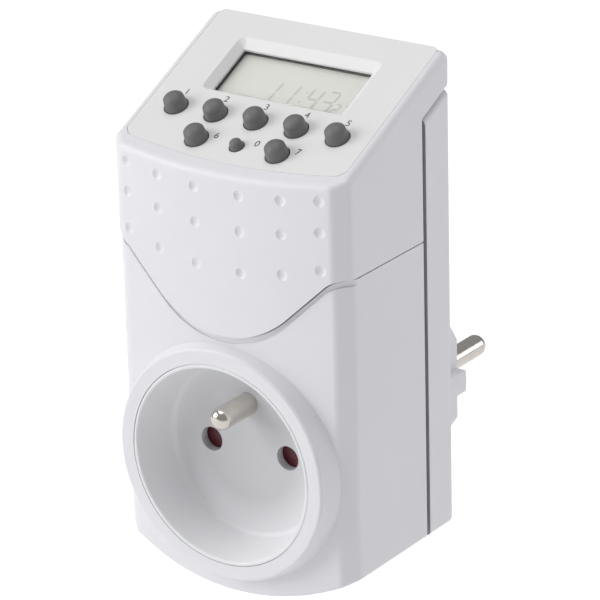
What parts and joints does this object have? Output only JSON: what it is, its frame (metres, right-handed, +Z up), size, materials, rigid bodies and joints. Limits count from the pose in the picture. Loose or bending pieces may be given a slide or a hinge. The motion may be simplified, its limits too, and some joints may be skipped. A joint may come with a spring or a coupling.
{
  "type": "plug-in timer switch",
  "caption": "Digital plug-in timer switch with a sloped control panel, display, push keys, a round shuttered socket outlet in front and a round plug at the back.",
  "frame": {"origin": "middle of the plug's end face, on the axis that the plug shares with the socket outlet", "axes": "+Z up, with the control panel at the top; -Y towards the front and the socket outlet; +Y the way the plug's pins point; +X to the right seen from the front"},
  "size_m": [0.0574, 0.0844, 0.1102],
  "materials": {
    "body_white": "satin, finely textured",
    "panel_grey": "smooth satin",
    "key_grey": "satin",
    "clear_lens": "clear polished acrylic",
    "lcd_glass": "reflective display",
    "rubber": "matt",
    "shutter_red": "smooth",
    "inner_plastic": "moulded",
    "relay_plastic": "moulded",
    "pin_nickel": "nickel-plated brass, turned",
    "contact_brass": "stamped",
    "spring_steel": "plated",
    "coil_copper": "enamelled copper winding",
    "circuit_board": "lacquered laminate",
    "capacitor_red": "dipped",
    "capacitor_black": "sleeved",
    "ribbon_grey": "extruded insulation",
    "screw_zinc": "zinc plated"
  },
  "bodies": {
    "casing": {"backup_cell": "spring_steel", "board_screws": "screw_zinc", "case_screws": "screw_zinc", "contact_carrier": "inner_plastic", "control_board": "circuit_board", "control_panel": "panel_grey", "display_gasket": "capacitor_black", "display_lens": "clear_lens", "earth_pin": "pin_nickel", "earth_strip": "contact_brass", "electrolytic_capacitor": "capacitor_black", "film_capacitor": "capacitor_red", "keypad_mat": "rubber", "lcd_connector": "rubber", "lcd_glass": "lcd_glass", "live_contact": "contact_brass", "live_feed": "contact_brass", "lower_front_shell": "body_white", "neutral_contact": "contact_brass", "plug_earth_clip": "contact_brass", "plug_earth_sleeve": "contact_brass", "plug_pin_live": "pin_nickel", "plug_pin_neutral": "pin_nickel", "power_board": "circuit_board", "rear_shell": "body_white", "rectifier_diodes": "capacitor_black", "relay_base": "inner_plastic", "relay_coil": "coil_copper", "relay_cover": "relay_plastic", "relay_fixed_contact": "contact_brass", "relay_yoke": "spring_steel", "ribbon_cable": "ribbon_grey", "socket_cup": "body_white", "upper_front_shell": "body_white"},
    "key_1": {"key_1": "key_grey"},
    "key_2": {"key_2": "key_grey"},
    "key_3": {"key_3": "key_grey"},
    "key_4": {"key_4": "key_grey"},
    "key_5": {"key_5": "key_grey"},
    "key_6": {"key_6": "key_grey"},
    "key_7": {"key_7": "key_grey"},
    "reset_key": {"reset_key": "key_grey"},
    "shutter": {"shutter": "shutter_red", "shutter_spring": "spring_steel"},
    "relay_armature": {"relay_armature": "spring_steel"}
  },
  "joints": [
    {"name": "key_1_press", "type": "slide", "parent": "casing", "child": "key_1", "axis": [0, 0.4337, -0.9011], "range_m": [0, 0.0008], "stiffness_N_per_m": 600},
    {"name": "key_2_press", "type": "slide", "parent": "casing", "child": "key_2", "axis": [0, 0.4337, -0.9011], "range_m": [0, 0.0008], "stiffness_N_per_m": 600},
    {"name": "key_3_press", "type": "slide", "parent": "casing", "child": "key_3", "axis": [0, 0.4337, -0.9011], "range_m": [0, 0.0008], "stiffness_N_per_m": 600},
    {"name": "key_4_press", "type": "slide", "parent": "casing", "child": "key_4", "axis": [0, 0.4337, -0.9011], "range_m": [0, 0.0008], "stiffness_N_per_m": 600},
    {"name": "key_5_press", "type": "slide", "parent": "casing", "child": "key_5", "axis": [0, 0.4337, -0.9011], "range_m": [0, 0.0008], "stiffness_N_per_m": 600},
    {"name": "key_6_press", "type": "slide", "parent": "casing", "child": "key_6", "axis": [0, 0.4337, -0.9011], "range_m": [0, 0.0008], "stiffness_N_per_m": 600},
    {"name": "key_7_press", "type": "slide", "parent": "casing", "child": "key_7", "axis": [0, 0.4337, -0.9011], "range_m": [0, 0.0008], "stiffness_N_per_m": 600},
    {"name": "reset_key_press", "type": "slide", "parent": "casing", "child": "reset_key", "axis": [0, 0.4337, -0.9011], "range_m": [0, 0.0005], "stiffness_N_per_m": 600},
    {"name": "shutter_turn", "type": "hinge", "parent": "casing", "child": "shutter", "pos_m": [0, -0.0509, 0], "axis": [0, 1, 0], "range_deg": [0, 41], "stiffness_Nm_per_rad": 0.002},
    {"name": "relay_armature_pull", "type": "hinge", "parent": "casing", "child": "relay_armature", "pos_m": [0.0002, -0.04405, 0.041], "axis": [0, 0, -1], "range_deg": [0, 2.7], "stiffness_Nm_per_rad": 0.05}
  ]
}
